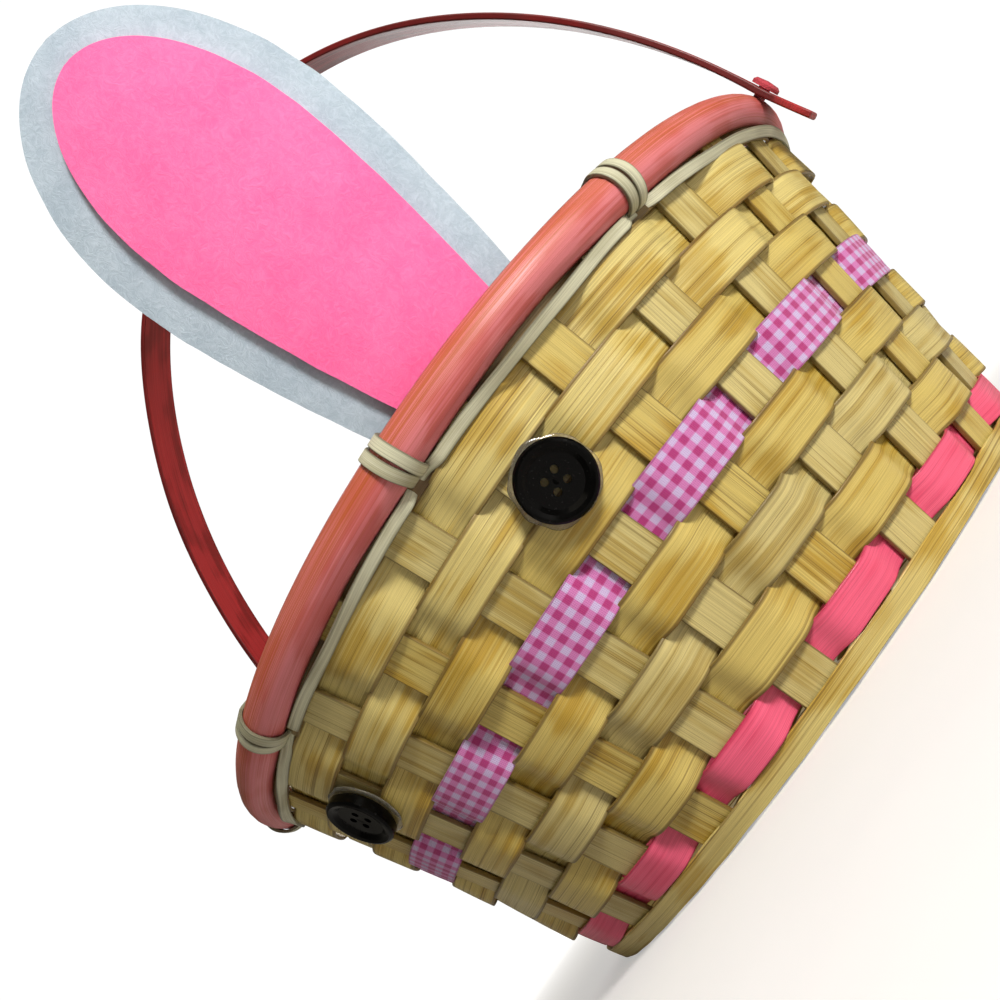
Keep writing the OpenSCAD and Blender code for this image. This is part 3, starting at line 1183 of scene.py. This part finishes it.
    def turn(self, azimuth: float, side: int) -> list[Station]:
        """Follows one turn, which leans in towards its pair at the lower edge.

        Args:
            azimuth: middle of the pair.
            side: -1 or 1 for the two turns of the pair.

        Returns:
            Cross-sections of the turn.
        """
        loop, made = self.turn_loop(), []
        for k, (up, out) in enumerate(loop):
            before, after = Vector(loop[k - 1]), Vector(loop[(k + 1) % len(loop)])
            step = (after - before).normalized()
            spread = self.tie_split * (0.84 + 0.16 * smooth((up + 6) / 6))
            here = azimuth + side * spread + 0.25 * math.sin(azimuth) * (up / 5)
            proud = 0.22 * (side > 0) * smooth((-up - 1) / 4)
            outward = WALL.outward(here) * -step.x + WALL.upward(here) * step.y
            a = math.radians(here)
            centre = WALL.point(here, WALL.rim_z, up, out) + outward * proud
            across = Vector((math.cos(a), math.sin(a), 0))
            made.append(Station(centre, across, outward, self.cane_width))
        return made

    def binder(self) -> list[Station]:
        """Follows the cane that runs under the outer hoop and dives in at each lashing.

        Returns:
            Cross-sections of the cane.
        """
        made = []
        for i in range(720):
            azimuth = 181 + 0.5 * i
            dive = 1 - smooth((self.to_tie(azimuth) - 0.6) / 2.4)
            slack = smooth((self.to_tie(azimuth) - 3) / 13)
            up = -6.5 - 0.55 * slack + 0.2 * ripple(azimuth, 5.0, 33.0) + 0.9 * dive
            tip = 0.95 * slack * (0.75 + 0.4 * ripple(azimuth, 3.0, 71.0))
            across, through = WALL.tilted(azimuth, tip)
            centre = WALL.point(azimuth, WALL.rim_z, up, 2.35 - 2.2 * dive + 0.5 * slack)
            made.append(Station(centre, across, through, self.cane_width - 0.5 * dive))
        return made

    def lashing(self) -> None:
        """All the lashing cane as one piece."""
        bm = bmesh.new()
        for k, azimuth in enumerate(self.tie_places()):
            for side in (-1, 1):
                add_strip(bm, self.turn(azimuth, side), closed=True, columns=3, crown=0.02,
                          shift=50.0 + 7.3 * k + 3 * side)
        add_strip(bm, self.binder(), closed=True, columns=3, crown=0.06, shift=511.0)
        piece = strip_piece("lashing_cane_turns", bm, self.cane_thickness - 0.1, 0.16, SAGE.material())
        place(piece, BASKET, "sage_cane", "lashing_cane")

    def build(self) -> None:
        """Makes the rim."""
        self.outer_hoop()
        self.inner_hoop()
        self.lashing()


# ---- handle ----------------------------------------------------------------------------------


@dataclass
class DropHandle:
    """The strip that swings on a pin at each side of the rim."""

    pin_z: float = 95.0
    half_span: float = 121.4
    rise: float = 148.5
    tail: float = 14.0
    tail_lean: float = 0.1
    width: float = 12.7
    thickness: float = 1.8
    tail_steps: int = 12
    arch_steps: int = 160

    def tail_x(self, depth: float) -> float:
        """Distance of a tail's middle from the basket's middle, at a depth below the pin."""
        return self.half_span + self.tail_lean * depth * depth / (depth + 4)

    def loose_end(self, side: int) -> list[Station]:
        """Follows one tail from its trimmed end up to the pin.

        Args:
            side: -1 for the left tail and 1 for the right.

        Returns:
            Cross-sections of the tail.
        """
        made = []
        for i in range(self.tail_steps, 0, -1):
            depth = self.tail * i / self.tail_steps
            slope = self.tail_x(depth) - self.tail_x(depth - 0.5)
            out = Vector((side, 0, slope)).normalized()
            width = self.width * (1 - 0.38 * smooth((depth - 3) / 9))
            sway = 0.5 * side * (depth / self.tail) ** 2
            centre = Vector((side * self.tail_x(depth), sway, self.pin_z - depth))
            made.append(Station(centre, Vector((0, 1, 0)), out, width))
        return made

    def arch(self) -> list[Station]:
        """Follows the half ellipse from right to left.

        Returns:
            Cross-sections of the arch.
        """
        made = []
        for i in range(self.arch_steps + 1):
            a = math.pi * i / self.arch_steps
            out = Vector((math.cos(a) / self.half_span, 0, math.sin(a) / self.rise)).normalized()
            centre = Vector((self.half_span * math.cos(a), 0, self.pin_z + self.rise * math.sin(a)))
            sway = 0.5 * noise.noise(Vector((a * 3, 5.0, 1.0))) * math.sin(a)
            width = self.width + 0.5 * noise.noise(Vector((a * 4, 2.0, 7.0)))
            made.append(Station(centre + Vector((0, sway, 0)), Vector((0, 1, 0)), out, width))
        return made

    def build(self) -> None:
        """Makes the handle and dresses its pins."""
        bm = bmesh.new()
        stations = [*self.loose_end(1), *self.arch(), *reversed(self.loose_end(-1))]
        for s in stations:
            s.across = -s.across
        add_strip(bm, stations, columns=5, crown=0.0, shift=700.0)
        piece = strip_piece("handle_bamboo", bm, self.thickness, 0.5, CRIMSON.material())
        place(piece, HANDLE, "crimson_bamboo", "handle_strip")
        pin = PEG.material()
        for node in ("handle_pin_left", "handle_pin_right"):
            dress(node, pin)


def dress(node: str, material: bpy.types.Material) -> None:
    """Gives a CAD node whose shape is right its finish.

    Args:
        node: name of the node.
        material: its finish.
    """
    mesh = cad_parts[node].data
    mesh.materials.clear()
    mesh.materials.append(material)
    log.info("%s keeps its shape", node)


# ---- face ------------------------------------------------------------------------------------


@dataclass
class EarPiece:
    """One layer of the felt ear, curved with the inside of the wall."""

    name: str
    node: str
    slot: str
    finish: Felt
    out: float
    half_width: float
    foot_half: float
    low_z: float
    top_z: float
    shift: float = 0.0
    base_z: float = 70.0
    wide_z: float = 150.0
    thickness: float = 2.0
    azimuth: float = 30.0

    def half(self, z: float) -> float:
        """Half of the ear's width.

        Args:
            z: height.

        Returns:
            The half width there, which widens from the foot and closes in a round tip.
        """
        if z <= self.wide_z:
            t = (self.wide_z - z) / (self.wide_z - self.base_z)
            return self.half_width - (self.half_width - self.foot_half) * t**1.5
        t = (z - self.wide_z) / (self.top_z - self.wide_z)
        return self.half_width * math.sqrt(max(0.0, 1 - t**2.2))

    def heights(self, rows: int) -> list[float]:
        """Heights of the rows of the mesh, closer together towards the round tip.

        Args:
            rows: number of rows below the widest place, and above it.

        Returns:
            The heights, from the foot up.
        """
        low = [self.low_z + (self.wide_z - self.low_z) * i / rows for i in range(rows)]
        tip = self.top_z - self.wide_z
        return low + [self.wide_z + tip * math.sin(math.pi / 2 * i / rows) for i in range(rows + 1)]

    def build(self) -> None:
        """Makes the layer and puts it on the basket."""
        heights = self.heights(34)
        rows, columns = len(heights) - 1, 30
        bm = bmesh.new()
        uv = bm.loops.layers.uv.verify()
        bmesh.ops.create_grid(bm, x_segments=columns, y_segments=rows, size=0.5)
        for face in bm.faces:
            for loop in face.loops:
                loop[uv].uv = (loop.vert.co.x * 6, loop.vert.co.y * 12)
        for vert in bm.verts:
            z = heights[round((vert.co.y + 0.5) * rows)]
            edge = 1 + 0.008 * noise.noise(Vector((z / 6, math.copysign(4.0, vert.co.x), self.out)))
            x = 2 * vert.co.x * self.half(z) * edge + self.shift
            radius = WALL.point(0, z, 0, self.out).xy.length
            azimuth = self.azimuth + math.degrees(math.asin(x / radius))
            soft = 0.25 * noise.noise(Vector((x / 16, z / 16, self.out)))
            vert.co = WALL.point(azimuth, z, 0, self.out + soft) * MM
        bmesh.ops.remove_doubles(bm, verts=bm.verts, dist=WELD)
        piece = strip_piece(self.name, bm, self.thickness, 0.55, self.finish.material())
        piece.modifiers["edges"].segments = 3
        place(piece, BASKET, self.slot, self.node)


@dataclass
class Face:
    """The ear, the button eyes and the glue that holds them."""

    eye_z: float = 68.8
    eye_azimuth: float = 25.4
    button_r: float = 8.3
    glue_out: float = 1.95

    def ear(self) -> None:
        """The pink lining in front of the blue-grey felt."""
        EarPiece("ear_lining_felt", "ear_lining", "pink_felt", PINK_FELT, out=-7.1,
                 half_width=21.4, foot_half=8.6, low_z=74.0, top_z=187.0).build()
        EarPiece("ear_back_felt", "ear_felt", "blue_grey_felt", BLUE_FELT, out=-9.15,
                 half_width=29.8, foot_half=15.0, low_z=70.0, top_z=193.5).build()

    def glue(self, side: int, name: str, node: str, material: bpy.types.Material) -> None:
        """A squeezed-out ring of glue round the back of a button.

        Args:
            side: -1 for the left eye and 1 for the right.
            name: name of the piece.
            node: CAD node that it stands for.
            material: its finish.
        """
        r = self.button_r
        profile = [(r - 2.6, 0.0), (r - 0.2, 0.02), (r + 0.7, 0.1), (r + 0.85, 0.4), (r + 0.4, 0.75),
                   (r - 2.6, 0.78)]
        bm = spin_ring([Vector((reach, 0, height)) for reach, height in profile], 72)
        for vert in bm.verts:
            a = math.atan2(vert.co.y, vert.co.x)
            blob = noise.noise(Vector((math.cos(a) * 2.4, math.sin(a) * 2.4, side * 5.0)))
            vert.co.xy *= 1 + 0.09 * blob * smooth((vert.co.xy.length - self.button_r + 1) / 2)
        bmesh.ops.recalc_face_normals(bm, faces=bm.faces)
        azimuth = side * self.eye_azimuth
        out, up = WALL.outward(azimuth), WALL.upward(azimuth)
        turn = Matrix((up.cross(out), up, out)).transposed()
        bmesh.ops.rotate(bm, verts=bm.verts, cent=(0, 0, 0), matrix=turn)
        bmesh.ops.translate(bm, verts=bm.verts, vec=WALL.point(azimuth, self.eye_z, 0, self.glue_out))
        bmesh.ops.scale(bm, verts=bm.verts, vec=(MM, MM, MM))
        piece = to_piece(name, bm, material)
        soft = piece.modifiers.new("soft", "SUBSURF")
        soft.levels = soft.render_levels = 1
        place(piece, BASKET, "clear_glue", node)

    def build(self) -> None:
        """Makes the face."""
        self.ear()
        black, clear = BUTTON.material(), GLUE.material()
        for side, word in ((-1, "left"), (1, "right")):
            dress(f"eye_button_{word}", black)
            self.glue(side, f"glue_ring_{word}", f"eye_glue_{word}", clear)


# ---- studio ----------------------------------------------------------------------------------


@dataclass
class Studio:
    """Floor, light and camera."""

    eye: Vector = field(default_factory=lambda: Vector((0.12603, -0.28446, 0.02365)))
    forward: Vector = field(default_factory=lambda: Vector((-0.42012, 0.87396, 0.24433)))
    up: Vector = field(default_factory=lambda: Vector((0.79383, 0.22348, 0.56559)))
    lens: float = 39.18

    def camera(self) -> None:
        """Sets the camera low in front of the basket, with its head tilted well over."""
        data = bpy.data.cameras.new("camera")
        data.lens, data.sensor_width = self.lens, 36.0
        data.clip_start, data.clip_end = 0.01, 50.0
        camera = bpy.data.objects.new("camera", data)
        bpy.context.scene.collection.objects.link(camera)
        back = -self.forward.normalized()
        right = self.up.cross(back).normalized()
        turn = Matrix((right, back.cross(right), back)).transposed().to_4x4()
        camera.matrix_world = Matrix.Translation(self.eye) @ turn
        bpy.context.scene.camera = camera

    def light(self, name: str, spot: Vector, target: Vector, size: float, power: float,
              tint: Colour) -> None:
        """A soft square lamp.

        Args:
            name: name of the lamp.
            spot: where it stands, in metres.
            target: what it points at.
            size: side of the square.
            power: watts.
            tint: colour of its light.
        """
        data = bpy.data.lights.new(name, "AREA")
        data.size, data.energy, data.color = size, power, tint
        lamp = bpy.data.objects.new(name, data)
        bpy.context.scene.collection.objects.link(lamp)
        lamp.location = spot
        lamp.rotation_mode = "QUATERNION"
        lamp.rotation_quaternion = (target - spot).to_track_quat("-Z", "Y")

    def sun(self) -> None:
        """Wide soft warm light from overhead."""
        data = bpy.data.lights.new("overhead", "SUN")
        data.energy, data.angle, data.color = 0.45, math.radians(50), (1.0, 0.9, 0.72)
        lamp = bpy.data.objects.new("overhead", data)
        bpy.context.scene.collection.objects.link(lamp)
        lamp.rotation_euler = (math.radians(12), math.radians(20), 0)

    def floor(self) -> None:
        """A wide pale disc, which glows more to the camera further from the basket."""
        bm = bmesh.new()
        bmesh.ops.create_circle(bm, cap_ends=True, segments=96, radius=6.0)
        material, n, shader = new_material("pale_floor")
        spot = n.add("ShaderNodeTexCoord").outputs["Object"]
        grit = n.noise(spot, (60.0, 60.0, 60.0), 3.0)
        n.feed(shader["Base Color"], n.mix(grit, (0.60, 0.59, 0.58), (0.64, 0.63, 0.62)))
        shader["Roughness"].default_value = 0.85
        reach = n.add("ShaderNodeVectorMath", operation="LENGTH")
        n.feed(reach.inputs[0], spot)
        # Painted light: the floor glows to camera rays only, and less near the basket, which paints a
        # soft pool of shade round it.
        glow = n.ramp(reach.outputs["Value"], 0.12, 0.55, 0.4, 0.88)
        seen = n.add("ShaderNodeLightPath").outputs["Is Camera Ray"]
        shader["Emission Color"].default_value = (1.0, 1.0, 1.0, 1.0)
        n.feed(shader["Emission Strength"], n.math("MULTIPLY", seen, glow))
        disc = to_piece("floor", bm, material)

    def sky(self) -> None:
        """Even pale light from all round, a little brighter where it is seen directly."""
        world = bpy.data.worlds.new("studio")
        world.use_nodes = True
        n = Nodes(world.node_tree)
        background = world.node_tree.nodes["Background"]
        seen = n.add("ShaderNodeLightPath").outputs["Is Camera Ray"]
        n.feed(background.inputs["Color"], n.mix(seen, (1.0, 0.92, 0.76), (1.0, 1.0, 1.0)))
        n.feed(background.inputs["Strength"], n.math("MULTIPLY_ADD", seen, 0.9, 0.14))
        bpy.context.scene.world = world

    def build(self) -> None:
        """Makes the studio."""
        self.camera()
        self.floor()
        self.sky()
        middle = Vector((0.0, 0.0, 0.09))
        self.light("key", Vector((0.82, -0.52, 0.46)), middle, 0.22, 11.0, (1.0, 0.98, 0.94))
        self.light("back", Vector((-0.4, 1.0, 0.7)), middle, 0.6, 3.5, (1.0, 1.0, 1.0))
        self.sun()
        bpy.context.scene.view_settings.view_transform = "Standard"


def main() -> None:
    """Builds the studio, then the basket from its foot to its face."""
    logging.basicConfig(level=logging.INFO, format="%(name)s: %(message)s")
    for part in (Studio(), WovenBody(), Rim(), DropHandle(), Face()):
        log.info("building %s", type(part).__name__)
        part.build()


if __name__ == "__main__":
    main()
